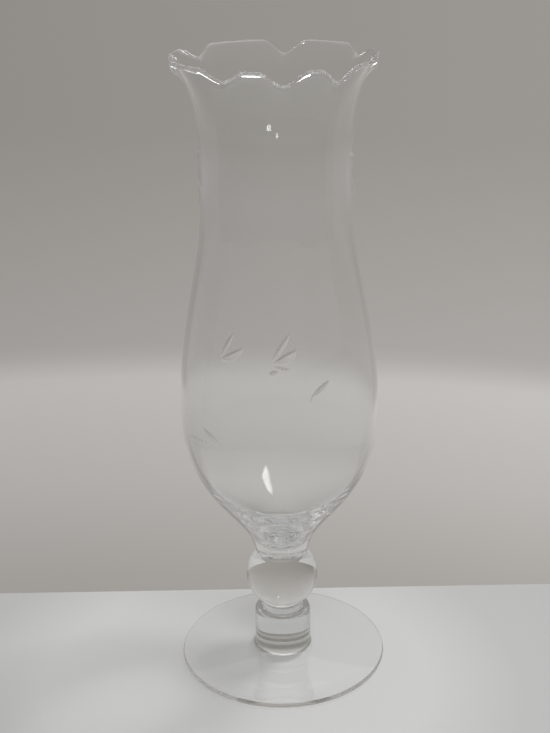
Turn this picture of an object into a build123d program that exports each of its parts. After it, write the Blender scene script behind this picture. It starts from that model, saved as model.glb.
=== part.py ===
from build123d import *

import os
from math import cos, pi, radians, sin, sqrt

# A footed flower vase of clear glass: a blown bowl with a crimped rim, on a ball stem and a round foot.
# The pieces are those that a glassmaker joins while they are hot, each a solid of its own, and they are
# stacked on the Z axis. The origin is the centre of the ring that the foot stands on; -Y is the front.

# Foot, in millimetres
FOOT_DIAMETER = 86.6
FOOT_EDGE_THICKNESS = 2.0
FOOT_EDGE_BULGE = 0.9
FOOT_SLOPE_RISE = 2.0
FOOT_COLLAR_WIDTH = 1.6
FOOT_COLLAR_RISE = 1.0
FOOT_RING_WIDTH = 9.0
FOOT_RECESS_DEPTH = 0.8

# Post that stands on the foot
POST_DIAMETER = 23.6
POST_HEIGHT = 17.3
POST_EDGE_ROUND = 2.3

# Ball knop, with a flat below and above where the wafers are joined to it
BALL_DIAMETER = 30.0
BALL_LOWER_FLAT_DEPTH = 3.1
BALL_UPPER_FLAT_DEPTH = 4.9

# Wafers: small discs of glass, as wide as the ball's flats, drawn in a little at the waist
LOWER_WAFER_HEIGHT = 3.7
LOWER_WAFER_WAIST = 0.7
UPPER_WAFER_HEIGHT = 2.5
UPPER_WAFER_WAIST = 0.3

# Bowl: four stages of its height, then the widths and how far each curve reaches along its end tangents
BELLY_HEIGHT = 63.4
SHOULDER_HEIGHT = 85.1
NECK_HEIGHT = 26.0
LIP_HEIGHT = 29.0
BELLY_DIAMETER = 79.1
NECK_DIAMETER = 58.2
RIM_DIAMETER = 78.2
RIM_TURNOUT_ANGLE = 62.0
BASE_RISE_ANGLE = 78.0
BASE_REACH = 20.0
BELLY_REACH_BELOW = 37.3
BELLY_REACH_ABOVE = 38.0
NECK_REACH_BELOW = 25.4
NECK_REACH_ABOVE = 6.5
RIM_REACH = 6.8

# Bowl wall: thick at the base, where a round-bottomed floor closes it, even up to the neck, and thinner
# up the neck to an even lip and its rounded rim
WALL = 2.0
RIM_WALL = 1.4
BASE_WALL = 7.0
BASE_TAPER_LENGTH = 50.0
FLOOR_THICKNESS = 2.5
FLOOR_RUN = 12.0
FLOOR_SPOT_RUN = 4.0

# Crimps pressed into the rim by hand: degrees from the front, turning towards +X, and share of the depth
CRIMPS = (
    (5.0, 1.0),
    (37.5, 1.0),
    (82.0, 0.75),
    (120.0, 0.7),
    (173.0, 1.0),
    (231.5, 0.8),
    (275.0, 0.95),
    (331.0, 0.75),
)
CRIMP_HALF_WIDTH = 14.0
CRIMP_DROP = 5.0
CRIMP_PINCH = 2.3
CRIMP_LENGTH = 34.0

# How many points and rings follow the bowl's curved walls
RING_POINTS = 72
CURVE_STEPS = 9
NECK_STEPS = 2
FLOOR_STEPS = 11
RIM_STEPS = 6

# Seams between the pieces, from the table upwards
ball_radius = BALL_DIAMETER / 2
lower_seam = sqrt(ball_radius**2 - (ball_radius - BALL_LOWER_FLAT_DEPTH) ** 2)
upper_seam = sqrt(ball_radius**2 - (ball_radius - BALL_UPPER_FLAT_DEPTH) ** 2)
post_bottom = FOOT_EDGE_THICKNESS + FOOT_SLOPE_RISE + FOOT_COLLAR_RISE
post_top = post_bottom + POST_HEIGHT
ball_bottom = post_top + LOWER_WAFER_HEIGHT
ball_top = ball_bottom + BALL_DIAMETER - BALL_LOWER_FLAT_DEPTH - BALL_UPPER_FLAT_DEPTH
bowl_bottom = ball_top + UPPER_WAFER_HEIGHT
belly_level = bowl_bottom + BELLY_HEIGHT
neck_level = belly_level + SHOULDER_HEIGHT
lip_level = neck_level + NECK_HEIGHT
bowl_top = lip_level + LIP_HEIGHT


def at(radius, height):
    """A point of a profile, drawn with X as the radius and Z as the height."""
    return Vector(radius, 0, height)


def turned(profile):
    """The solid that a closed profile sweeps out as it turns about the Z axis."""
    return revolve(make_face(profile), Axis.Z)


def make_foot():
    """A thin disc with a melted edge that stands on a flat ring, and flares up in a collar to the post."""
    edge = FOOT_DIAMETER / 2 - FOOT_EDGE_BULGE
    ring_inside = FOOT_DIAMETER / 2 - FOOT_RING_WIDTH
    seat = POST_DIAMETER / 2
    collar_start = at(seat + FOOT_COLLAR_WIDTH, FOOT_EDGE_THICKNESS + FOOT_SLOPE_RISE)
    recess = Bezier(at(0, FOOT_RECESS_DEPTH), at(ring_inside / 2, FOOT_RECESS_DEPTH), at(ring_inside, 0))
    stand = Line(at(ring_inside, 0), at(edge, 0))
    rounding = ThreePointArc(
        at(edge, 0),
        at(FOOT_DIAMETER / 2, FOOT_EDGE_THICKNESS / 2),
        at(edge, FOOT_EDGE_THICKNESS),
    )
    slope = Line(at(edge, FOOT_EDGE_THICKNESS), collar_start)
    collar = Bezier(collar_start, at(seat, collar_start.Z), at(seat, post_bottom))
    joint = Polyline(at(seat, post_bottom), at(0, post_bottom), at(0, FOOT_RECESS_DEPTH))
    return turned(recess + stand + rounding + slope + collar + joint)


def make_post():
    """A short solid cylinder with its top edge melted round."""
    base = (Align.CENTER, Align.CENTER, Align.MIN)
    post = Pos(0, 0, post_bottom) * Cylinder(POST_DIAMETER / 2, POST_HEIGHT, align=base)
    return fillet(post.edges().group_by(Axis.Z)[-1], POST_EDGE_ROUND)


def make_wafer(radius, waist, bottom, top):
    """A disc of glass drawn in a little round its middle."""
    side = ThreePointArc(at(radius, bottom), at(radius - waist, (bottom + top) / 2), at(radius, top))
    ends = Polyline(at(radius, top), at(0, top), at(0, bottom), at(radius, bottom))
    return turned(side + ends)


def make_ball():
    """A solid ball with a flat below and above."""
    widest = at(ball_radius, ball_bottom + ball_radius - BALL_LOWER_FLAT_DEPTH)
    side = ThreePointArc(at(lower_seam, ball_bottom), widest, at(upper_seam, ball_top))
    ends = Polyline(
        at(upper_seam, ball_top), at(0, ball_top), at(0, ball_bottom), at(lower_seam, ball_bottom)
    )
    return turned(side + ends)


def inward(point, tangent, distance):
    """A profile point moved square to the outside, towards the inside of the bowl."""
    return point + Vector(-tangent.Z, 0, tangent.X) * distance


def lip_direction():
    """The way that the lip points at the rim, and the middle of the rim's rounding."""
    turnout = radians(RIM_TURNOUT_ANGLE)
    return at(sin(turnout), cos(turnout)), at(RIM_DIAMETER / 2 - RIM_WALL / 2, bowl_top - RIM_WALL / 2)


def upper_walls():
    """Profile points of the outside above the belly, and of the inside a wall's thickness behind them."""
    belly = BELLY_DIAMETER / 2
    neck = NECK_DIAMETER / 2
    lip_way, lip_middle = lip_direction()
    lip_end = inward(lip_middle, lip_way, -RIM_WALL / 2)
    shoulder = Bezier(
        at(belly, belly_level),
        at(belly, belly_level + BELLY_REACH_ABOVE),
        at(neck, neck_level - NECK_REACH_BELOW),
        at(neck, neck_level),
    )
    throat = Line(at(neck, neck_level), at(neck, lip_level))
    lip = Bezier(
        at(neck, lip_level), at(neck, lip_level + NECK_REACH_ABOVE), lip_end - lip_way * RIM_REACH, lip_end
    )
    outside = []
    inside = []
    for curve, steps, first_wall, last_wall in (
        (shoulder, CURVE_STEPS, WALL, WALL),
        (throat, NECK_STEPS, WALL, RIM_WALL),
        (lip, CURVE_STEPS, RIM_WALL, RIM_WALL),
    ):
        for step in range(steps):
            share = step / steps
            wall = first_wall + (last_wall - first_wall) * share
            outside.append(curve @ share)
            inside.append(inward(curve @ share, curve % share, wall))
    return outside, inside


def rim_round():
    """Profile points over the rim, a half circle from the outside to the inside."""
    way, middle = lip_direction()
    points = []
    for step in range(RIM_STEPS + 1):
        turn = pi * step / RIM_STEPS
        points.append(inward(middle, way, -cos(turn) * RIM_WALL / 2) + way * (sin(turn) * RIM_WALL / 2))
    return points


def lower_walls():
    """Profile points of the outside from the seat to the belly, and of the round floor and wall inside it."""
    belly = BELLY_DIAMETER / 2
    rise = radians(BASE_RISE_ANGLE)
    base = Bezier(
        at(upper_seam, bowl_bottom),
        at(upper_seam, bowl_bottom) + at(cos(rise), sin(rise)) * BASE_REACH,
        at(belly, belly_level - BELLY_REACH_BELOW),
        at(belly, belly_level),
    )
    outside = [base @ (step / CURVE_STEPS) for step in range(CURVE_STEPS)]
    wall_points = []
    for step in range(CURVE_STEPS + 1):
        run = FLOOR_RUN + (base.length - FLOOR_RUN) * step / CURVE_STEPS
        extra = (BASE_WALL - WALL) * max(0.0, 1 - run / BASE_TAPER_LENGTH) ** 2
        point = base.position_at(run, PositionMode.LENGTH)
        wall_points.append(inward(point, base.tangent_at(run, PositionMode.LENGTH), WALL + extra))
    floor = Spline(at(0, bowl_bottom + FLOOR_THICKNESS), *wall_points, tangents=(at(1, 0), at(0, 1)))
    inside = []
    for step in range(FLOOR_STEPS):
        run = FLOOR_SPOT_RUN + (floor.length - FLOOR_SPOT_RUN) * step / FLOOR_STEPS
        inside.append(floor.position_at(run, PositionMode.LENGTH))
    return outside, inside


def crimp_depth(angle):
    """How far the crimps press the rim at this angle, from 0 on a lobe to 1 in a full dip."""
    depth = 0.0
    for place, share in CRIMPS:
        away = abs((angle - place + 180) % 360 - 180)
        if away < CRIMP_HALF_WIDTH:
            depth += share * (0.5 + 0.5 * cos(pi * away / CRIMP_HALF_WIDTH))
    return depth


def ring(point):
    """A closed curve round the bowl at one profile point, lowered and drawn in at the crimps."""
    reach = max(0.0, 1 - (bowl_top - point.Z) / CRIMP_LENGTH) ** 2
    points = []
    for step in range(RING_POINTS):
        angle = 360 * step / RING_POINTS
        press = reach * crimp_depth(angle)
        radius = point.X - CRIMP_PINCH * press
        height = point.Z - CRIMP_DROP * press
        points.append((radius * sin(radians(angle)), -radius * cos(radians(angle)), height))
    shares = [step / RING_POINTS for step in range(RING_POINTS + 1)]
    return Wire([Edge.make_spline(points, periodic=True, parameters=shares)])


def skin(profile):
    """The smooth skin through the rings at a run of profile points."""
    return Shell.make_loft([ring(point) for point in profile]).faces()


def make_bowl():
    """The blown bowl: an outer skin, a rounded rim and an inner skin, closed by its seat and floor."""
    lower_outside, floor = lower_walls()
    upper_outside, upper_inside = upper_walls()
    rim = rim_round()
    outside = lower_outside + upper_outside + rim[:1]
    inside = floor + upper_inside + rim[-1:]
    caps = [Face(ring(outside[0])), Face(ring(inside[0]))]
    return Solid(Shell(skin(outside) + skin(rim) + skin(inside) + caps))


nodes = {
    "foot": make_foot(),
    "stem_post": make_post(),
    "lower_wafer": make_wafer(lower_seam, LOWER_WAFER_WAIST, post_top, ball_bottom),
    "ball_knop": make_ball(),
    "upper_wafer": make_wafer(upper_seam, UPPER_WAFER_WAIST, ball_top, bowl_bottom),
    "bowl": make_bowl(),
}
os.makedirs("parts", exist_ok=True)
for name, shape in nodes.items():
    export_step(shape, f"parts/{name}.step")
    print(f"{name}: volume {shape.volume:.0f} mm3, valid {shape.is_valid}")
print(f"overall height {bowl_top:.2f} mm")
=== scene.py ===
from math import asin, atan2, cos, degrees, pi, radians, sin, sqrt, tan

import bmesh
import bpy
from mathutils import Matrix, Vector


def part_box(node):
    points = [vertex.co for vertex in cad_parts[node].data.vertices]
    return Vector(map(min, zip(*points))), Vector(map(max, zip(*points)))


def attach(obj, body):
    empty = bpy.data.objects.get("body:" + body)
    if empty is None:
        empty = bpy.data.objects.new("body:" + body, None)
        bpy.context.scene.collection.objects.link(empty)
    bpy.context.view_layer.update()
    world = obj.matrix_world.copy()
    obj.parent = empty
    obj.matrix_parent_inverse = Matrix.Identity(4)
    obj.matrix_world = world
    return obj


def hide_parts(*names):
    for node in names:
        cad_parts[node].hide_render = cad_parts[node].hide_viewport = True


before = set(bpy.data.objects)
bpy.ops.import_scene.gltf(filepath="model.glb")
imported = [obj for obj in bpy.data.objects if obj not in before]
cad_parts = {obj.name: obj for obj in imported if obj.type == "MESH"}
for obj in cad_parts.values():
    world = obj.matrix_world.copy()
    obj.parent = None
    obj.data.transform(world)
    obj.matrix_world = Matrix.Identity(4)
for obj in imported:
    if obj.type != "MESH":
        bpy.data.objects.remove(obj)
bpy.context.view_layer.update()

# A footed flower vase of clear glass. Six turned pieces stand on each other as the solids do, and share
# the solids' seams. All places are in metres; profiles are points of radius and height. Angles round the
# vase are degrees from the front (-Y), turning towards +X.
MM = 0.001

# ---- Sizes ----

# Foot; the handles are the shares of the way at which the curves of recess and collar are held
FOOT_EDGE_THICKNESS = 2.0 * MM
FOOT_EDGE_BULGE = 0.9 * MM
FOOT_SLOPE_RISE = 2.0 * MM
FOOT_COLLAR_WIDTH = 1.6 * MM
FOOT_COLLAR_HANDLE = 2 / 3
FOOT_RING_WIDTH = 9.0 * MM
FOOT_RECESS_DEPTH = 0.8 * MM
FOOT_RECESS_HANDLES = (0.4, 0.7)

# Post, and how far the wafers' sides follow the pieces that they join
POST_EDGE_ROUND = 2.3 * MM
ALONG_POST_TOP = 1.0 * MM
ALONG_BALL_BOTTOM = 1.4 * MM
ALONG_BALL_TOP = 1.2 * MM
ALONG_BOWL_BASE = 0.9 * MM

# Bowl: stages of its height, widths, and how far each curve reaches along its end tangents
BELLY_HEIGHT = 63.4 * MM
SHOULDER_HEIGHT = 85.1 * MM
NECK_HEIGHT = 26.0 * MM
LIP_HEIGHT = 29.0 * MM
NECK_RADIUS = 29.1 * MM
RIM_RADIUS = 39.1 * MM
RIM_TURNOUT = radians(62)
BASE_RISE = radians(78)
BASE_REACH = 20.0 * MM
BELLY_REACH_BELOW = 37.3 * MM
BELLY_REACH_ABOVE = 38.0 * MM
NECK_REACH_BELOW = 25.4 * MM
NECK_REACH_ABOVE = 6.5 * MM
RIM_REACH = 6.8 * MM

# Bowl: its wall, which thickens towards the base, and its dished floor
WALL = 2.0 * MM
RIM_WALL = 1.4 * MM
BASE_WALL = 7.0 * MM
BASE_TAPER_LENGTH = 50.0 * MM
FLOOR_THICKNESS = 2.5 * MM
FLOOR_RUN = 12.0 * MM

# Crimps in the rim: angle, and share of the full depth
CRIMPS = (
    (5.0, 1.0),
    (37.5, 1.0),
    (82.0, 0.75),
    (120.0, 0.7),
    (173.0, 1.0),
    (231.5, 0.8),
    (275.0, 0.95),
    (331.0, 0.75),
)
CRIMP_HALF_WIDTH = 14.0
CRIMP_DROP = 5.0 * MM
CRIMP_PINCH = 2.3 * MM
CRIMP_LENGTH = 34.0 * MM

# Leaf sprigs cut into the bowl's outside: the base and tip of each cut, as angle and millimetres of
# height, and how many millimetres it swells to the left and right of the line between them
SPRIGS = (
    ((-36.2, 148.4), (-28.0, 158.1), 1.0, 0.9),
    ((-35.7, 147.4), (-21.1, 152.9), 0.5, 2.3),
    ((-3.7, 149.0), (7.4, 159.1), 1.1, 1.1),
    ((-2.9, 148.0), (11.0, 152.6), 0.8, 2.5),
    ((-2.9, 146.5), (5.8, 145.2), 0.3, 0.6),
    ((-6.0, 143.6), (-0.6, 144.8), 0.7, 0.7),
    ((18.2, 134.3), (29.3, 139.2), 0.9, 0.9),
    ((16.9, 132.1), (18.6, 134.8), 0.3, 0.3),
    ((-48.6, 117.8), (-34.8, 113.3), 0.9, 0.9),
    ((-62.0, 111.2), (-45.2, 112.5), 0.35, 0.35),
)
SPRIG_RADIUS = 37.0 * MM
CUT_SLOPE = 0.3
CUT_SHALLOWEST = 0.01 * MM

# How finely the turned pieces are divided, and below what distance two profile points are one
COLUMNS = 288
CURVE_ROWS = 40
ARC_ROWS = 14
SAME_PLACE = 1e-7
SHARP_EDGE = radians(40)

# How the cuts are worked into the mesh: its finer divisions, how far they reach round a cut and above and
# below them all, how near a corner is drawn to a cut's lines, and how exactly the skin is found
CUT_DIVISIONS = 5
CUT_MARGIN = 1.5 * MM
CUT_LEVELS_MARGIN = 5.0 * MM
CUT_SNAP = 0.09 * MM
SKIN_MARGIN = WALL / 4
SKIN_HALVINGS = 24
SKIN_STEP = 0.01

# Places in each piece's list of materials
GLASS, SEAM, CUT = 0, 1, 2

# ---- Looks ----

# Clear glass, with the faint waves of a surface that set while it was soft, and the grain of the cut leaves
GLASS_COLOUR = (0.985, 0.99, 0.985, 1)
GLASS_IOR = 1.5
WAVE_SCALE = 60
WAVE_DETAIL = 1
WAVE_STRENGTH = 0.05
WAVE_HEIGHT = 0.5 * MM
GRAIN_SCALE = 900
GRAIN_DETAIL = 3
GRAIN_ROUGHNESS = (0.2, 0.4)

# How glass dims and tints light along each metre; the foot shows it at its edge
GLASS_TINT = (0.5, 0.5, 0.45, 1)
GLASS_DENSITY = 0.08
FOOT_DENSITY = 3.0

# How much of the light that falls on the table passes a surface of thin glass, of solid glass and of the
# post: a lamp's light that meets it squarely, a lamp's light that grazes it, and the light from all round.
# The first gives way to the second over a range of Layer Weight's facing.
THIN = (1.0, 0.35, 1.0)
SOLID = (0.25, 0.2, 0.55)
POST = (1.0, 1.0, 1.0)
GRAZING_RANGE = (0.3, 0.9)

# Table: its back edge is just behind the foot; its colour carries a painted pool of light, with tones by
# distance from its brightest place and painted shade further out
TABLE_BACK = 48 * MM
TABLE_FRONT = -1.2
TABLE_HALF_WIDTH = 1.2
TABLE_THICKNESS = 30 * MM
TABLE_GAP = 0.1 * MM
TABLE_PAINTED_LIGHT_TONES = ((0.08, 0.585), (0.12, 0.49), (0.3, 0.40), (0.9, 0.26))
TABLE_PAINTED_LIGHT_MIDDLE = Vector((-20, -20, 0)) * MM
TABLE_ROUGHNESS = 0.6
TABLE_SPECULAR = 0.2

# Surroundings as seen past the vase and through it: degrees above the horizon and colour, for the
# backdrop behind the vase and for the rest of the room
BACKDROP = (
    (-60.0, (0.28, 0.27, 0.255)),
    (-37.0, (0.33, 0.315, 0.30)),
    (-31.0, (0.375, 0.36, 0.34)),
    (-27.0, (0.455, 0.44, 0.42)),
    (-22.6, (0.515, 0.50, 0.48)),
    (-21.3, (0.385, 0.365, 0.35)),
    (-12.0, (0.305, 0.29, 0.27)),
    (5.0, (0.305, 0.295, 0.28)),
    (24.0, (0.29, 0.28, 0.265)),
    (30.0, (0.60, 0.595, 0.585)),
    (38.0, (0.90, 0.895, 0.885)),
    (52.0, (1.0, 0.995, 0.985)),
)
ROOM = (
    (-60.0, (0.28, 0.27, 0.26)),
    (-34.0, (0.34, 0.33, 0.32)),
    (-27.0, (0.42, 0.405, 0.39)),
    (-22.0, (0.43, 0.415, 0.40)),
    (-18.0, (0.36, 0.35, 0.34)),
    (-5.0, (0.27, 0.26, 0.25)),
    (10.0, (0.28, 0.27, 0.26)),
    (25.0, (0.28, 0.27, 0.26)),
    (50.0, (0.40, 0.395, 0.39)),
    (80.0, (0.45, 0.445, 0.44)),
)
# Half the angle that the backdrop fills, and at which it has given way to the room
BACKDROP_HALF_ANGLE = radians(25)
ROOM_HALF_ANGLE = radians(50)
BACKDROP_LEAN = radians(-2)
# How much brighter it is to the right and darker to the left, reached at this X of a direction
BRIGHTER_TO_THE_RIGHT = 0.07
BRIGHTER_REACH = 0.2
# The light from all round that falls on things
AMBIENT = 0.48
AMBIENT_COLOUR = (1, 0.99, 0.975, 1)

# The part of the backdrop close behind the stem, which only the glass shows, as a card that glows though it
# is no lamp: millimetres of height and colour, painted light with painted shade low down; its painted
# brightness at its left and right ends low down, darker to the left and lighter to the right, and the heights
# over which that evens out
NEAR_BACKDROP = (
    (-70.0, (0.30, 0.29, 0.27)),
    (0.0, (0.325, 0.31, 0.285)),
    (22.0, (0.40, 0.385, 0.365)),
    (45.0, (0.49, 0.475, 0.455)),
    (65.0, (0.455, 0.44, 0.42)),
)
NEAR_BACKDROP_DEPTH = 60 * MM
NEAR_BACKDROP_HALF_WIDTH = 70 * MM
NEAR_BACKDROP_PAINTED_SIDE_LIGHT = (0.65, 1.2)
NEAR_BACKDROP_FADE = (-10 * MM, 20 * MM)

# Lamps: the place in millimetres that each is aimed at, its angle, degrees above the level, distance,
# width and height in metres, degrees of spread, brightness, and which rays meet it
LIGHT = ("diffuse",)
SHOWN = ("glossy", "transmission")
MIRRORED = ("glossy",)
LAMPS = (
    ("right_window", (0, 0, 127), 120.0, 54.0, 1.2, 0.30, 0.30, 180.0, 23.0, LIGHT),
    ("front_window", (0, 0, 127), 15.0, 52.0, 1.2, 0.40, 0.40, 180.0, 9.0, LIGHT),
    ("right_lamp", (0, 0, 85), 49.0, 59.0, 0.6, 0.15, 0.055, 18.0, 18.0, SHOWN),
    ("rim_strip", (-8, -39, 254), 183.0, 1.2, 0.34, 0.070, 0.018, 30.0, 8.0, SHOWN),
    ("wide_pane", (-3, 27, 222), 10.5, -10.5, 0.04, 0.0034, 0.0016, 180.0, 60.0, MIRRORED),
    ("narrow_pane", (1, 27, 222), -3.5, -14.0, 0.04, 0.0014, 0.0016, 180.0, 60.0, MIRRORED),
)

# Camera: fitted to the photograph's foot and rim
CAMERA_PLACE = Vector((-1.5, -483.1, 328.0)) * MM
CAMERA_DOWN = radians(22.10)
CAMERA_ROLL = radians(0.99)
FOCAL_PIXELS = 1312.2
IMAGE_HEIGHT = 733
SENSOR_WIDTH = 36

# How often light may bounce, so that it can run to and fro inside the glass
BOUNCES = 1024
CLEAR_BOUNCES = 256


# ---- Profiles ----

def widest(node):
    """The radius of a round solid, by its narrowest half width."""
    low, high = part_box(node)
    return min(-low.x, -low.y, high.x, high.y)


# Seams and widths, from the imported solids
foot_radius = widest("foot")
post_radius = widest("stem_post")
ball_radius = widest("ball_knop")
belly_radius = widest("bowl")
lower_seam = widest("lower_wafer")
upper_seam = widest("upper_wafer")
post_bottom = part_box("foot")[1].z
post_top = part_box("stem_post")[1].z
ball_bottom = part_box("ball_knop")[0].z
ball_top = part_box("ball_knop")[1].z
bowl_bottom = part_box("bowl")[0].z
belly_level = bowl_bottom + BELLY_HEIGHT
neck_level = belly_level + SHOULDER_HEIGHT
lip_level = neck_level + NECK_HEIGHT
bowl_top = lip_level + LIP_HEIGHT


def at(radius, height):
    """A profile point."""
    return Vector((radius, height))


def on_cubic(corners, t):
    """The point of a cubic curve at a share of its way, from its two ends and two handles."""
    start, leave, arrive, end = corners
    s = 1 - t
    return s**3 * start + 3 * s * s * t * leave + 3 * s * t * t * arrive + t**3 * end


def cubic(start, leave, arrive, end, rows=CURVE_ROWS):
    """Points of a cubic curve, without its last point."""
    return [on_cubic((start, leave, arrive, end), row / rows) for row in range(rows)]


def turns(low, high, rows):
    """Even turns from one angle to another, both included."""
    return [low + (high - low) * row / rows for row in range(rows + 1)]


def eased(share):
    """A share kept between 0 and 1 and eased at both ends."""
    share = min(1.0, max(0.0, share))
    return share * share * (3 - 2 * share)


def way_along(points, index):
    """The direction of a row of profile points at one of them."""
    before = points[max(index - 1, 0)]
    after = points[min(index + 1, len(points) - 1)]
    return (after - before).normalized()


def turn_left(way):
    """The direction square to another, on its left."""
    return at(-way.y, way.x)


def foot_runs():
    """The foot's profile, from the middle of its underside round its edge to the post's seat."""
    edge = foot_radius - FOOT_EDGE_BULGE
    inner = foot_radius - FOOT_RING_WIDTH
    top = FOOT_EDGE_THICKNESS
    slope_end = at(post_radius + FOOT_COLLAR_WIDTH, top + FOOT_SLOPE_RISE)
    corner = at(post_radius, slope_end.y)
    seat = at(post_radius, post_bottom)
    near, far = FOOT_RECESS_HANDLES
    recess = cubic(
        at(0, FOOT_RECESS_DEPTH),
        at(inner * near, FOOT_RECESS_DEPTH),
        at(inner * far, FOOT_RECESS_DEPTH / 2),
        at(inner, 0),
    )
    stand = [at(inner, 0), at(edge, 0)]
    rounding = [
        at(edge + FOOT_EDGE_BULGE * sin(turn), top * (1 - cos(turn)) / 2) for turn in turns(0, pi, ARC_ROWS)
    ]
    slope = [rounding[-1].lerp(slope_end, row / ARC_ROWS) for row in range(ARC_ROWS)]
    collar = cubic(
        slope_end,
        slope_end.lerp(corner, FOOT_COLLAR_HANDLE),
        seat.lerp(corner, FOOT_COLLAR_HANDLE),
        seat,
        ARC_ROWS,
    )
    return [(recess + stand + rounding + slope + collar + [seat], GLASS), ([at(0, post_bottom)], SEAM)]


def post_runs():
    """The post's profile: a seam on the foot, the side, a rounded edge and a seam under the wafer."""
    shoulder = at(post_radius - POST_EDGE_ROUND, post_top - POST_EDGE_ROUND)
    rounding = [
        shoulder + at(cos(turn), sin(turn)) * POST_EDGE_ROUND for turn in turns(0, pi / 2, ARC_ROWS)
    ]
    return [
        ([at(0, post_bottom), at(post_radius, post_bottom)], SEAM),
        (rounding + [at(lower_seam, post_top)], GLASS),
        ([at(0, post_top)], SEAM),
    ]


def wafer_runs(radius, bottom, top, leave, arrive):
    """A wafer's profile: a seam below, a side that flows into both neighbours and a seam above."""
    low, high = at(radius, bottom), at(radius, top)
    side = cubic(low, low + leave, high - arrive, high, ARC_ROWS)
    return [([at(0, bottom), low], SEAM), (side + [high], GLASS), ([at(0, top)], SEAM)]


def lower_wafer_runs():
    """The wafer between the post and the ball."""
    arrive = ball_way(ball_bottom) * ALONG_BALL_BOTTOM
    return wafer_runs(lower_seam, post_top, ball_bottom, at(-ALONG_POST_TOP, 0), arrive)


def upper_wafer_runs():
    """The wafer between the ball and the bowl."""
    leave = ball_way(ball_top) * ALONG_BALL_TOP
    arrive = at(cos(BASE_RISE), sin(BASE_RISE)) * ALONG_BOWL_BASE
    return wafer_runs(upper_seam, ball_top, bowl_bottom, leave, arrive)


def ball_centre():
    """The height of the ball's middle."""
    return ball_top - sqrt(ball_radius**2 - upper_seam**2)


def ball_way(height):
    """The direction of the ball's side, going up, at a height."""
    lift = (height - ball_centre()) / ball_radius
    return at(-lift, sqrt(1 - lift**2))


def ball_runs():
    """The ball's profile between the seams of its two flats."""
    centre = ball_centre()
    low = asin((ball_bottom - centre) / ball_radius)
    high = asin((ball_top - centre) / ball_radius)
    side = [
        at(ball_radius * cos(turn), centre + ball_radius * sin(turn)) for turn in turns(low, high, CURVE_ROWS)
    ]
    return [
        ([at(0, ball_bottom), at(lower_seam, ball_bottom)], SEAM),
        ([at(lower_seam, ball_bottom)] + side[1:-1] + [at(upper_seam, ball_top)], GLASS),
        ([at(0, ball_top)], SEAM),
    ]


def body_curves():
    """The bowl's two long curves: from its seat to the belly, and from the belly to the neck."""
    seat = at(upper_seam, bowl_bottom)
    belly = at(belly_radius, belly_level)
    neck = at(NECK_RADIUS, neck_level)
    rise = at(cos(BASE_RISE), sin(BASE_RISE))
    base = (seat, seat + rise * BASE_REACH, belly - at(0, BELLY_REACH_BELOW), belly)
    shoulder = (belly, belly + at(0, BELLY_REACH_ABOVE), neck - at(0, NECK_REACH_BELOW), neck)
    return base, shoulder


def lip_direction():
    """The way that the lip points at the rim, and the middle of the rim's rounding."""
    way = at(sin(RIM_TURNOUT), cos(RIM_TURNOUT))
    return way, at(RIM_RADIUS - RIM_WALL / 2, bowl_top - RIM_WALL / 2)


def bowl_outside():
    """Profile points up the bowl's outside, from its seat to the lip."""
    base, shoulder = body_curves()
    neck = shoulder[-1]
    lip = at(NECK_RADIUS, lip_level)
    way, middle = lip_direction()
    end = middle - turn_left(way) * (RIM_WALL / 2)
    throat = [neck.lerp(lip, row / ARC_ROWS) for row in range(ARC_ROWS)]
    flare = cubic(lip, lip + at(0, NECK_REACH_ABOVE), end - way * RIM_REACH, end)
    return cubic(*base) + cubic(*shoulder) + throat + flare + [end]


def bowl_inside(outside):
    """Profile points up the bowl's inside: a dished floor, then a wall that thins above the base and again
    in the throat."""
    inside = []
    run = 0.0
    for index, point in enumerate(outside):
        if index:
            run += (point - outside[index - 1]).length
        if run < FLOOR_RUN:
            continue
        base = (BASE_WALL - WALL) * max(0.0, 1 - run / BASE_TAPER_LENGTH) ** 2
        throat = (RIM_WALL - WALL) * eased((point.y - neck_level) / (lip_level - neck_level))
        inside.append(point + turn_left(way_along(outside, index)) * (WALL + base + throat))
    middle = at(0, bowl_bottom + FLOOR_THICKNESS)
    reach = inside[0].x / 2
    arrive = inside[0] - way_along(inside, 0) * reach
    return cubic(middle, middle + at(reach, 0), arrive, inside[0], ARC_ROWS) + inside


def rim_round():
    """Profile points over the rim, a half circle from the outside to the inside."""
    way, middle = lip_direction()
    left = turn_left(way)
    between = turns(0, pi, ARC_ROWS)[1:-1]
    return [middle + (way * sin(turn) - left * cos(turn)) * (RIM_WALL / 2) for turn in between]


def bowl_runs():
    """The bowl's profile: a seam on the wafer, the outside, the rim and the inside."""
    outside = bowl_outside()
    skin = outside + rim_round() + bowl_inside(outside)[::-1]
    return [([at(0, bowl_bottom), outside[0]], SEAM), (skin, GLASS)]


# ---- Turned meshes ----

def crimp_depth(angle):
    """How far the crimps press the rim at this angle, from 0 on a lobe to 1 in a full dip."""
    depth = 0.0
    for place, share in CRIMPS:
        away = abs((angle - place + 180) % 360 - 180)
        if away < CRIMP_HALF_WIDTH:
            depth += share * (0.5 + 0.5 * cos(pi * away / CRIMP_HALF_WIDTH))
    return depth


def round_place(point, angle):
    """The place of a profile point turned to an angle from the front."""
    return Vector((point.x * sin(radians(angle)), -point.x * cos(radians(angle)), point.y))


def crimped_place(point, angle):
    """The same, lowered and drawn in where the crimps press the bowl's rim."""
    reach = max(0.0, 1 - (bowl_top - point.y) / CRIMP_LENGTH) ** 2
    press = reach * crimp_depth(angle)
    return round_place(point - at(CRIMP_PINCH, CRIMP_DROP) * press, angle)


def join_rings(mesh, lower, upper, material):
    """Faces between two rings, either of which may be a single point on the axis."""
    for column in range(COLUMNS):
        after = (column + 1) % COLUMNS
        corners = [lower[column % len(lower)], lower[after % len(lower)]]
        corners += [upper[after % len(upper)], upper[column % len(upper)]]
        face = mesh.faces.new(list(dict.fromkeys(corners)))
        face.material_index = material
        face.smooth = True


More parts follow.
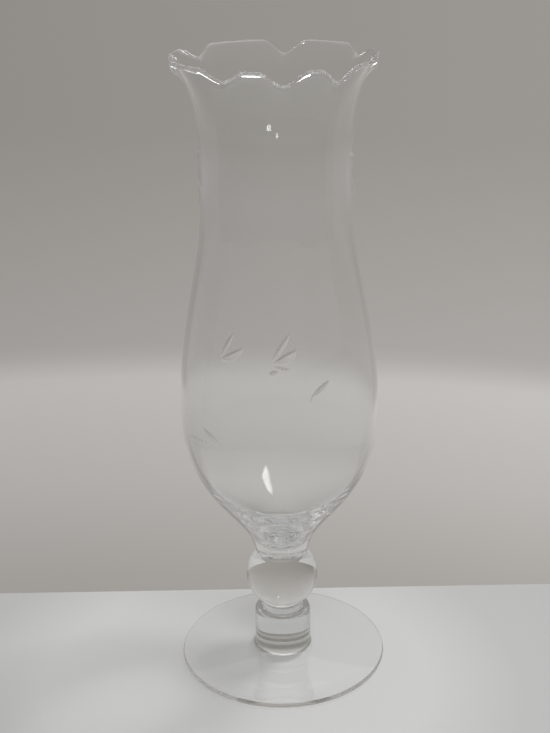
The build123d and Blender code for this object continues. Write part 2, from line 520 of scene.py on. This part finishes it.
def turned_mesh(runs, place=round_place):
    """A closed bmesh turned about the Z axis from runs of profile points, each with its material."""
    mesh = bmesh.new()
    angles = [360 * column / COLUMNS for column in range(COLUMNS)]
    last_ring = None
    last_point = None
    for points, material in runs:
        for point in points:
            if last_point is not None and (point - last_point).length < SAME_PLACE:
                continue
            if point.x < SAME_PLACE:
                ring = [mesh.verts.new((0, 0, point.y))]
            else:
                ring = [mesh.verts.new(place(point, angle)) for angle in angles]
            if last_ring is not None:
                join_rings(mesh, last_ring, ring, material)
            last_ring = ring
            last_point = point
    return mesh


# ---- Cut leaves ----

def skin_at(height):
    """The profile point of the bowl's outside at a height, and the way out from it."""
    base, shoulder = body_curves()
    curve = base if height < belly_level else shoulder
    low, high = 0.0, 1.0
    for _ in range(SKIN_HALVINGS):
        middle = (low + high) / 2
        if on_cubic(curve, middle).y < height:
            low = middle
        else:
            high = middle
    step = on_cubic(curve, min(low + SKIN_STEP, 1)) - on_cubic(curve, max(low - SKIN_STEP, 0))
    return on_cubic(curve, low), -turn_left(step.normalized())


def rolled_out(angle, height):
    """A place on the bowl's skin, as if that were rolled out flat."""
    return at(radians(angle) * SPRIG_RADIUS, height)


def rolled_out_corner(corner):
    """The same for a corner of the mesh."""
    return rolled_out(degrees(atan2(corner.co.x, -corner.co.y)), corner.co.z)


def on_skin(corner):
    """Whether a corner of the mesh lies on the bowl's outside."""
    return corner.co.xy.length > skin_at(corner.co.z)[0].x - SKIN_MARGIN


def sprig_cuts():
    """Each cut on the rolled-out skin: its base, its two axes, its length and its swell on both sides."""
    for (base_angle, base_height), (tip_angle, tip_height), left, right in SPRIGS:
        base = rolled_out(base_angle, base_height * MM)
        line = rolled_out(tip_angle, tip_height * MM) - base
        way = line.normalized()
        yield base, way, turn_left(way), line.length, left * MM, right * MM


def cut_here(place, cut):
    """A place drawn to the nearest edge or bottom line of a cut, and the cut's depth there."""
    base, way, side, length, left, right = cut
    along = (place - base).dot(way)
    across = (place - base).dot(side)
    swell = max(0.0, 4 * along * (length - along) / length**2)
    edge = swell * (left if across > 0 else -right)
    for line in (edge, 0.0):
        if swell and abs(across - line) < CUT_SNAP:
            place = place + side * (line - across)
            across = line
    share = 1 - across / edge if edge else 0.0
    return place, CUT_SLOPE * swell * (left + right) / 2 * max(0.0, share)


def near_cut(place, cut):
    """Whether a place lies on a cut or close beside it."""
    base, way, side, length, left, right = cut
    along = (place - base).dot(way)
    across = (place - base).dot(side)
    beside = -right - CUT_MARGIN < across < left + CUT_MARGIN
    return beside and -CUT_MARGIN < along < length + CUT_MARGIN


def divide_near_cuts(mesh, cuts):
    """Divides the faces of the bowl's outside that lie near a cut more finely, and gives their corners."""
    levels = [base.y for base, *_ in cuts]
    levels += [(base + way * length).y for base, way, _, length, *_ in cuts]
    low, high = min(levels) - CUT_LEVELS_MARGIN, max(levels) + CUT_LEVELS_MARGIN
    edges = set()
    for face in mesh.faces:
        corners = face.verts
        if all(low < corner.co.z < high for corner in corners) and all(on_skin(corner) for corner in corners):
            if any(near_cut(rolled_out_corner(corner), cut) for corner in corners for cut in cuts):
                edges.update(face.edges)
    made = bmesh.ops.subdivide_edges(mesh, edges=list(edges), cuts=CUT_DIVISIONS, use_grid_fill=True)
    corners = {part for part in made["geom_inner"] if isinstance(part, bmesh.types.BMVert)}
    corners.update(corner for edge in edges if edge.is_valid for corner in edge.verts)
    return corners


def cut_sprigs(mesh):
    """Cuts the sprigs into the bowl's outside."""
    cuts = list(sprig_cuts())
    corners = divide_near_cuts(mesh, cuts)
    depths = {}
    for corner in corners:
        place = rolled_out_corner(corner)
        depth = 0.0
        for cut in cuts:
            if near_cut(place, cut):
                place, this_depth = cut_here(place, cut)
                depth = max(depth, this_depth)
        point, out = skin_at(place.y)
        corner.co = round_place(point - out * depth, degrees(place.x / SPRIG_RADIUS))
        depths[corner] = depth
    for face in {face for corner in corners for face in corner.link_faces}:
        if sum(depths.get(corner, 0.0) for corner in face.verts) > CUT_SHALLOWEST:
            face.material_index = CUT
        face.smooth = True


# ---- Materials ----

def mapped(tree, value, low, high, to_low, to_high):
    """A value mapped from one range to another."""
    node = tree.nodes.new("ShaderNodeMapRange")
    node.inputs["From Min"].default_value = low
    node.inputs["From Max"].default_value = high
    node.inputs["To Min"].default_value = to_low
    node.inputs["To Max"].default_value = to_high
    tree.links.new(value, node.inputs["Value"])
    return node.outputs["Result"]


def colour_ramp(tree, stops):
    """A ramp of colours from stops between 0 and 1."""
    ramp = tree.nodes.new("ShaderNodeValToRGB")
    elements = ramp.color_ramp.elements
    while len(elements) < len(stops):
        elements.new(0.5)
    for element, (position, colour) in zip(elements, stops):
        element.position = position
        element.color = (*colour, 1)
    return ramp


def new_material(name):
    """A material with Blender's first two nodes, and its node tree."""
    material = bpy.data.materials.new(name)
    material.use_nodes = True
    return material, material.node_tree


def glass_shader(tree):
    """The shader of a glass surface."""
    shader = tree.nodes["Principled BSDF"]
    shader.inputs["Base Color"].default_value = GLASS_COLOUR
    shader.inputs["IOR"].default_value = GLASS_IOR
    shader.inputs["Transmission Weight"].default_value = 1.0
    return shader


def noise(tree, scale, detail):
    """Noise fixed to the piece."""
    place = tree.nodes.new("ShaderNodeTexCoord")
    node = tree.nodes.new("ShaderNodeTexNoise")
    node.inputs["Scale"].default_value = scale
    node.inputs["Detail"].default_value = detail
    tree.links.new(place.outputs["Object"], node.inputs["Vector"])
    return node.outputs["Fac"]


def let_light_through(tree, shader, light_shares):
    """Lets the light that falls on the table pass the glass, less of it where a lamp's ray grazes."""
    square, grazing, all_round = light_shares
    facing = tree.nodes.new("ShaderNodeLayerWeight")
    shade = mapped(tree, facing.outputs["Facing"], *GRAZING_RANGE, square, grazing)
    path = tree.nodes.new("ShaderNodeLightPath")
    surface = shader.outputs["BSDF"]
    for ray in ("Is Diffuse Ray", "Is Shadow Ray"):
        clear = tree.nodes.new("ShaderNodeBsdfTransparent")
        if ray == "Is Shadow Ray":
            tree.links.new(shade, clear.inputs["Color"])
        else:
            clear.inputs["Color"].default_value = (all_round, all_round, all_round, 1)
        mix = tree.nodes.new("ShaderNodeMixShader")
        tree.links.new(path.outputs[ray], mix.inputs["Fac"])
        tree.links.new(surface, mix.inputs[1])
        tree.links.new(clear.outputs["BSDF"], mix.inputs[2])
        surface = mix.outputs["Shader"]
    tree.links.new(surface, tree.nodes["Material Output"].inputs["Surface"])


def fill_with_glass(tree, density):
    """The faint tint of the glass itself, which shows where light runs a long way through it."""
    body = tree.nodes.new("ShaderNodeVolumeAbsorption")
    body.inputs["Color"].default_value = GLASS_TINT
    body.inputs["Density"].default_value = density
    tree.links.new(body.outputs["Volume"], tree.nodes["Material Output"].inputs["Volume"])


def clear_glass(name, light_shares, density=GLASS_DENSITY):
    """Clear glass worked hot, with faint waves in its surface."""
    material, tree = new_material(name)
    shader = glass_shader(tree)
    shader.inputs["Roughness"].default_value = 0.0
    bump = tree.nodes.new("ShaderNodeBump")
    bump.inputs["Strength"].default_value = WAVE_STRENGTH
    bump.inputs["Distance"].default_value = WAVE_HEIGHT
    tree.links.new(noise(tree, WAVE_SCALE, WAVE_DETAIL), bump.inputs["Height"])
    tree.links.new(bump.outputs["Normal"], shader.inputs["Normal"])
    let_light_through(tree, shader, light_shares)
    fill_with_glass(tree, density)
    return material


def cut_glass():
    """The ground surface that the cutter's wheel leaves."""
    material, tree = new_material("cut_glass")
    shader = glass_shader(tree)
    grain = noise(tree, GRAIN_SCALE, GRAIN_DETAIL)
    tree.links.new(mapped(tree, grain, 0, 1, *GRAIN_ROUGHNESS), shader.inputs["Roughness"])
    let_light_through(tree, shader, THIN)
    fill_with_glass(tree, GLASS_DENSITY)
    return material


def seam_glass(name, density=GLASS_DENSITY):
    """The inside of a fused joint, where glass meets glass and nothing shows."""
    material, tree = new_material(name)
    clear = tree.nodes.new("ShaderNodeBsdfTransparent")
    tree.links.new(clear.outputs["BSDF"], tree.nodes["Material Output"].inputs["Surface"])
    tree.nodes.remove(tree.nodes["Principled BSDF"])
    fill_with_glass(tree, density)
    return material


# ---- Pieces ----

def add_object(name, mesh, materials):
    """Puts a finished bmesh into the scene."""
    data = bpy.data.meshes.new(name)
    mesh.to_mesh(data)
    mesh.free()
    for material in materials:
        data.materials.append(material)
    thing = bpy.data.objects.new(name, data)
    bpy.context.scene.collection.objects.link(thing)
    return thing


def add_piece(node, mesh, materials):
    """Puts a finished bmesh into the scene in place of the solid of that name."""
    bmesh.ops.recalc_face_normals(mesh, faces=mesh.faces[:])
    piece = add_object(f"{node}_glass", mesh, materials)
    piece.data.set_sharp_from_angle(angle=SHARP_EDGE)
    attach(piece, "root")
    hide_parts(node)


def make_vase():
    """The six pieces of the vase, from the table upwards."""
    seam = seam_glass("fused_seam")
    foot_seam = seam_glass("foot_seam", FOOT_DENSITY)
    foot_glass = clear_glass("foot_glass", THIN, FOOT_DENSITY)
    thin_glass = clear_glass("thin_glass", THIN)
    post_glass = clear_glass("post_glass", POST)
    solid_glass = clear_glass("solid_glass", SOLID)
    add_piece("foot", turned_mesh(foot_runs()), [foot_glass, foot_seam])
    add_piece("stem_post", turned_mesh(post_runs()), [post_glass, seam])
    add_piece("lower_wafer", turned_mesh(lower_wafer_runs()), [post_glass, seam])
    add_piece("ball_knop", turned_mesh(ball_runs()), [solid_glass, seam])
    add_piece("upper_wafer", turned_mesh(upper_wafer_runs()), [solid_glass, seam])
    bowl = turned_mesh(bowl_runs(), crimped_place)
    cut_sprigs(bowl)
    add_piece("bowl", bowl, [thin_glass, seam, cut_glass()])


# ---- Stage ----

def make_table():
    """A pale table top, with a pool of light painted into its colour: brightest beside the vase, with painted
    shade further away.
    """
    mesh = bmesh.new()
    bmesh.ops.create_cube(mesh, size=1)
    depth = TABLE_BACK - TABLE_FRONT
    scale = Matrix.Diagonal((2 * TABLE_HALF_WIDTH, depth, TABLE_THICKNESS, 1))
    middle = Vector((0, TABLE_BACK - depth / 2, -TABLE_GAP - TABLE_THICKNESS / 2))
    bmesh.ops.transform(mesh, matrix=Matrix.Translation(middle) @ scale, verts=mesh.verts)
    material, tree = new_material("table_paint_and_painted_light")
    shader = tree.nodes["Principled BSDF"]
    shader.inputs["Roughness"].default_value = TABLE_ROUGHNESS
    shader.inputs["Specular IOR Level"].default_value = TABLE_SPECULAR
    # Painted light: the base colour falls off with distance from one place, a painted pool of light with
    # painted shade further out
    place = tree.nodes.new("ShaderNodeTexCoord")
    away = tree.nodes.new("ShaderNodeVectorMath")
    away.operation = "DISTANCE"
    away.inputs[1].default_value = TABLE_PAINTED_LIGHT_MIDDLE
    tree.links.new(place.outputs["Object"], away.inputs[0])
    farthest = TABLE_PAINTED_LIGHT_TONES[-1][0]
    ramp = colour_ramp(tree, [(distance / farthest, (tone, tone, tone)) for distance, tone in TABLE_PAINTED_LIGHT_TONES])
    tree.links.new(mapped(tree, away.outputs["Value"], 0, farthest, 0, 1), ramp.inputs["Fac"])
    tree.links.new(ramp.outputs["Color"], shader.inputs["Base Color"])
    add_object("table", mesh, [material])


def make_near_backdrop():
    """A card behind the stem, hidden from all but rays that pass through glass or mirror in it; it glows with
    painted light and painted shade.
    """
    bottom, top = NEAR_BACKDROP[0][0] * MM, NEAR_BACKDROP[-1][0] * MM
    reach = NEAR_BACKDROP_HALF_WIDTH
    mesh = bmesh.new()
    corners = ((-reach, bottom), (reach, bottom), (reach, top), (-reach, top))
    mesh.faces.new([mesh.verts.new((side, NEAR_BACKDROP_DEPTH, level)) for side, level in corners])
    material, tree = new_material("glowing_near_backdrop")
    tree.nodes.remove(tree.nodes["Principled BSDF"])
    place = tree.nodes.new("ShaderNodeTexCoord")
    split = tree.nodes.new("ShaderNodeSeparateXYZ")
    tree.links.new(place.outputs["Object"], split.inputs["Vector"])
    span = top - bottom
    # Painted light and painted shade: the glow's colour by height, darker low down
    ramp = colour_ramp(tree, [((level * MM - bottom) / span, colour) for level, colour in NEAR_BACKDROP])
    tree.links.new(mapped(tree, split.outputs["Z"], bottom, top, 0, 1), ramp.inputs["Fac"])
    # Painted side light: low down the glow is dimmer at the left end and brighter at the right end
    strength = tree.nodes.new("ShaderNodeMix")
    strength.inputs["A"].default_value = 1
    low_down = mapped(tree, split.outputs["Z"], *NEAR_BACKDROP_FADE, 1, 0)
    sideways = mapped(tree, split.outputs["X"], -reach, reach, *NEAR_BACKDROP_PAINTED_SIDE_LIGHT)
    tree.links.new(low_down, strength.inputs["Factor"])
    tree.links.new(sideways, strength.inputs["B"])
    glow = tree.nodes.new("ShaderNodeEmission")
    tree.links.new(ramp.outputs["Color"], glow.inputs["Color"])
    tree.links.new(strength.outputs["Result"], glow.inputs["Strength"])
    tree.links.new(glow.outputs["Emission"], tree.nodes["Material Output"].inputs["Surface"])
    card = add_object("glowing_near_backdrop", mesh, [material])
    card.visible_camera = False
    card.visible_diffuse = False
    card.visible_shadow = False


def height_ramp(tree, height, stops):
    """Colours by height above the horizon, from a height that runs from 0 straight down to 1 straight up."""
    ramp = colour_ramp(tree, [((1 + sin(radians(above))) / 2, colour) for above, colour in stops])
    tree.links.new(height, ramp.inputs["Fac"])
    return ramp.outputs["Color"]


def seen_directly(tree):
    """1 for what is seen directly, mirrored or through glass, and 0 for the light that falls on things."""
    path = tree.nodes.new("ShaderNodeLightPath")
    seen = path.outputs["Is Camera Ray"]
    for ray in ("Is Glossy Ray", "Is Transmission Ray"):
        either = tree.nodes.new("ShaderNodeMath")
        either.operation = "MAXIMUM"
        tree.links.new(seen, either.inputs[0])
        tree.links.new(path.outputs[ray], either.inputs[1])
        seen = either.outputs[0]
    return seen


def compass_y(tree, way):
    """How far a direction points to the back on the level: 1 straight back, -1 straight to the front."""
    level = tree.nodes.new("ShaderNodeVectorMath")
    level.operation = "MULTIPLY"
    level.inputs[1].default_value = (1, 1, 0)
    heading = tree.nodes.new("ShaderNodeVectorMath")
    heading.operation = "NORMALIZE"
    compass = tree.nodes.new("ShaderNodeSeparateXYZ")
    tree.links.new(way, level.inputs[0])
    tree.links.new(level.outputs["Vector"], heading.inputs[0])
    tree.links.new(heading.outputs["Vector"], compass.inputs["Vector"])
    return compass.outputs["Y"]


def make_world():
    """Even light from all round, and the backdrop and room that the glass shows."""
    world = bpy.data.worlds.new("studio")
    bpy.context.scene.world = world
    world.use_nodes = True
    tree = world.node_tree
    tree.nodes.clear()
    place = tree.nodes.new("ShaderNodeTexCoord")
    way = tree.nodes.new("ShaderNodeMapping")
    way.inputs["Rotation"].default_value = (0, BACKDROP_LEAN, 0)
    split = tree.nodes.new("ShaderNodeSeparateXYZ")
    tree.links.new(place.outputs["Generated"], way.inputs["Vector"])
    tree.links.new(way.outputs["Vector"], split.inputs["Vector"])
    height = mapped(tree, split.outputs["Z"], -1, 1, 0, 1)
    back = compass_y(tree, way.outputs["Vector"])
    behind = mapped(tree, back, cos(ROOM_HALF_ANGLE), cos(BACKDROP_HALF_ANGLE), 0, 1)
    colour = tree.nodes.new("ShaderNodeMixRGB")
    tree.links.new(behind, colour.inputs["Fac"])
    tree.links.new(height_ramp(tree, height, ROOM), colour.inputs["Color1"])
    tree.links.new(height_ramp(tree, height, BACKDROP), colour.inputs["Color2"])
    darker, brighter = 1 - BRIGHTER_TO_THE_RIGHT, 1 + BRIGHTER_TO_THE_RIGHT
    strength = mapped(tree, split.outputs["X"], -BRIGHTER_REACH, BRIGHTER_REACH, darker, brighter)
    seen = tree.nodes.new("ShaderNodeBackground")
    tree.links.new(colour.outputs["Color"], seen.inputs["Color"])
    tree.links.new(strength, seen.inputs["Strength"])
    light = tree.nodes.new("ShaderNodeBackground")
    light.inputs["Color"].default_value = AMBIENT_COLOUR
    light.inputs["Strength"].default_value = AMBIENT
    mix = tree.nodes.new("ShaderNodeMixShader")
    output = tree.nodes.new("ShaderNodeOutputWorld")
    tree.links.new(seen_directly(tree), mix.inputs["Fac"])
    tree.links.new(light.outputs["Background"], mix.inputs[1])
    tree.links.new(seen.outputs["Background"], mix.inputs[2])
    tree.links.new(mix.outputs["Shader"], output.inputs["Surface"])


def make_lamp(name, aim, azimuth, elevation, distance, width, height, spread, brightness, rays):
    """A flat lamp that faces what it is aimed at, as bright to look at for any size and spread."""
    lamp = bpy.data.lights.new(name, "AREA")
    lamp.shape = "RECTANGLE"
    lamp.size = width
    lamp.size_y = height
    lamp.spread = radians(spread)
    half = radians(spread) / 2
    lamp.energy = brightness * pi * width * height * (1 - half / tan(half))
    flat = cos(radians(elevation))
    way = Vector((flat * sin(radians(azimuth)), -flat * cos(radians(azimuth)), sin(radians(elevation))))
    holder = bpy.data.objects.new(name, lamp)
    holder.location = Vector(aim) * MM + way * distance
    holder.rotation_euler = way.to_track_quat("Z", "Y").to_euler()
    holder.visible_camera = False
    holder.visible_diffuse = "diffuse" in rays
    holder.visible_glossy = "glossy" in rays
    holder.visible_transmission = "transmission" in rays
    bpy.context.scene.collection.objects.link(holder)


def make_camera():
    """The photograph's camera."""
    data = bpy.data.cameras.new("camera")
    data.sensor_width = SENSOR_WIDTH
    data.lens = SENSOR_WIDTH * FOCAL_PIXELS / IMAGE_HEIGHT
    camera = bpy.data.objects.new("camera", data)
    tilt = Matrix.Rotation(pi / 2 - CAMERA_DOWN, 4, "X") @ Matrix.Rotation(-CAMERA_ROLL, 4, "Z")
    camera.matrix_world = Matrix.Translation(CAMERA_PLACE) @ tilt
    bpy.context.scene.collection.objects.link(camera)
    bpy.context.scene.camera = camera


make_vase()
make_table()
make_world()
make_near_backdrop()
for lamp in LAMPS:
    make_lamp(*lamp)
make_camera()
bpy.context.scene.view_settings.view_transform = "Standard"
bpy.context.scene.cycles.max_bounces = BOUNCES
bpy.context.scene.cycles.transmission_bounces = BOUNCES
bpy.context.scene.cycles.glossy_bounces = BOUNCES
bpy.context.scene.cycles.transparent_max_bounces = CLEAR_BOUNCES
